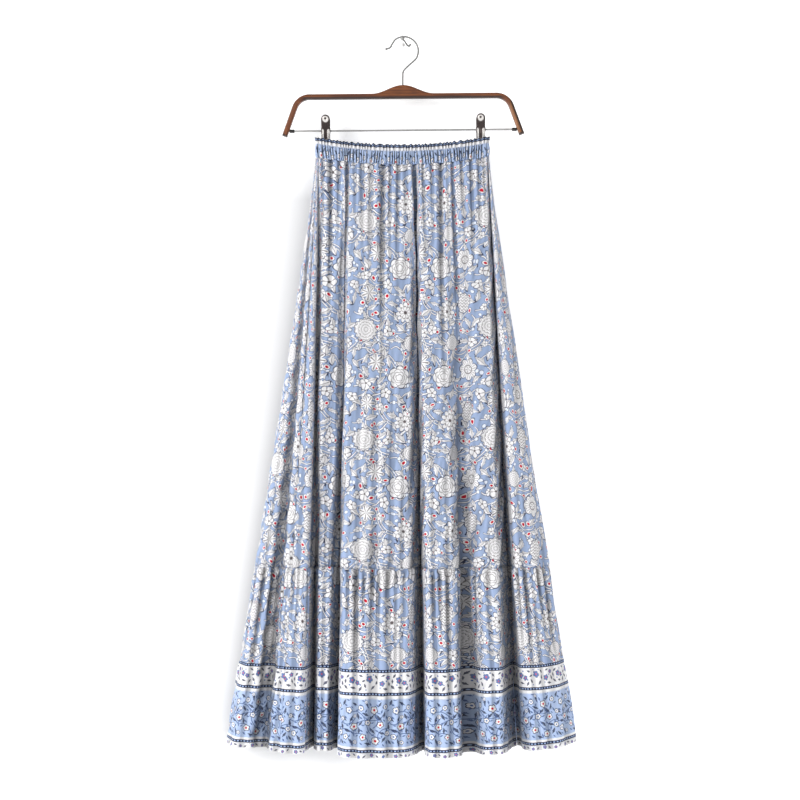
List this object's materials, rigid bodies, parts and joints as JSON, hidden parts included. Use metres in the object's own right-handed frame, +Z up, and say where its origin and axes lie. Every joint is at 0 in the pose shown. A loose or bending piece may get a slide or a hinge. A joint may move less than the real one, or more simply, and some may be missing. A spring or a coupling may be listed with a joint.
{
  "type": "maxi skirt on a clip hanger",
  "caption": "Long tiered skirt with a gathered elastic waist and a gathered flounce, held by a wooden clip hanger on a wall peg.",
  "frame": {"origin": "centre of the wall peg's flange, on the wall face", "axes": "+Z up, +Y into the wall, +X to the right seen from the front, so the skirt's front faces -Y"},
  "size_m": [0.5788, 0.1254, 1.1763],
  "materials": {
    "waistband_cloth": "matt woven viscose",
    "skirt_cloth": "matt woven viscose, printed",
    "flounce_cloth": "matt woven viscose, printed",
    "wood": "satin varnish",
    "wire": "polished",
    "clip": "polished sheet",
    "sleeve": "matt"
  },
  "bodies": {
    "root": {"waistband_front": "waistband_cloth", "waistband_back": "waistband_cloth", "panel_front": "skirt_cloth", "panel_back": "skirt_cloth", "flounce_front": "flounce_cloth", "flounce_back": "flounce_cloth", "hanger_wood": "wood", "hanger_hook": "wire", "hanger_bar": "wire", "bar_sleeve_left": "sleeve", "bar_sleeve_right": "sleeve", "clip_left_front": "clip", "clip_left_back": "clip", "clip_right_front": "clip", "clip_right_back": "clip", "wall_peg": "wire"}
  },
  "joints": []
}
